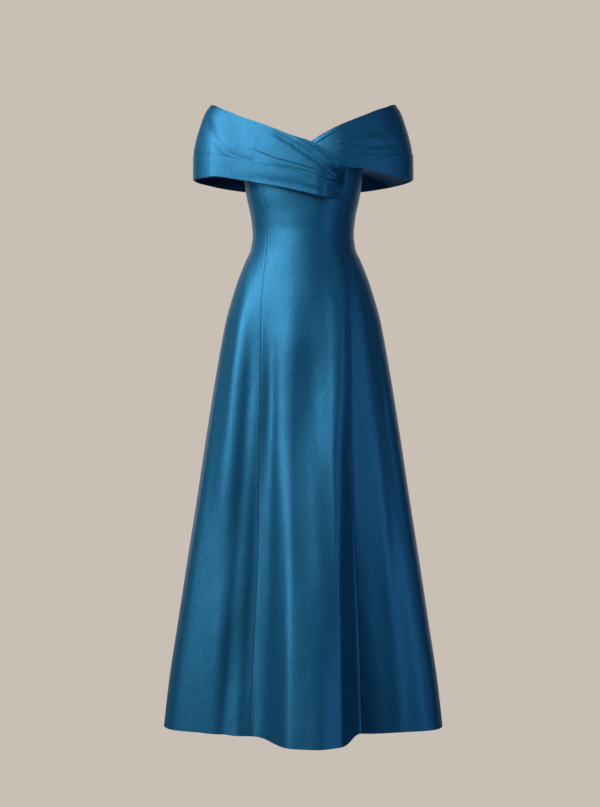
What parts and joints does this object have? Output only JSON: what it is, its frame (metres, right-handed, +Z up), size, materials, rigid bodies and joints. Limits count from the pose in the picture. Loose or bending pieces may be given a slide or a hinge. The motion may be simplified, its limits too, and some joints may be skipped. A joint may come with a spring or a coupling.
{
  "type": "evening gown",
  "caption": "Floor-length A-line evening gown in blue satin-faced cloth, kept in its worn form, with a draped off-the-shoulder collar that crosses over at the front.",
  "frame": {"origin": "centre of the waist, on the body's axis, where the gown is held by its wearer", "axes": "+Z up along the body, -Y towards the front, +X towards the wearer's left"},
  "size_m": [0.6321, 0.4861, 1.4208],
  "materials": {
    "satin": "heavy satin-faced cloth with a soft broad sheen",
    "zip_metal": "gloss enamel, dyed to match the cloth"
  },
  "bodies": {
    "gown": {"front_centre": "satin", "front_side_right": "satin", "front_side_left": "satin", "back_side_right": "satin", "back_side_left": "satin", "back_centre_right": "satin", "back_centre_left": "satin", "collar_right_drape": "satin", "collar_right_fold": "satin", "collar_left_drape": "satin", "collar_left_fold": "satin", "zip_slider": "zip_metal"},
    "pull_tab": {"zip_pull": "zip_metal"}
  },
  "joints": [
    {"name": "pull_tab_swing", "type": "hinge", "parent": "gown", "child": "pull_tab", "pos_m": [0, 0.10344, 0.07316], "axis": [1, 0, 0], "range_deg": [0, 120]}
  ]
}
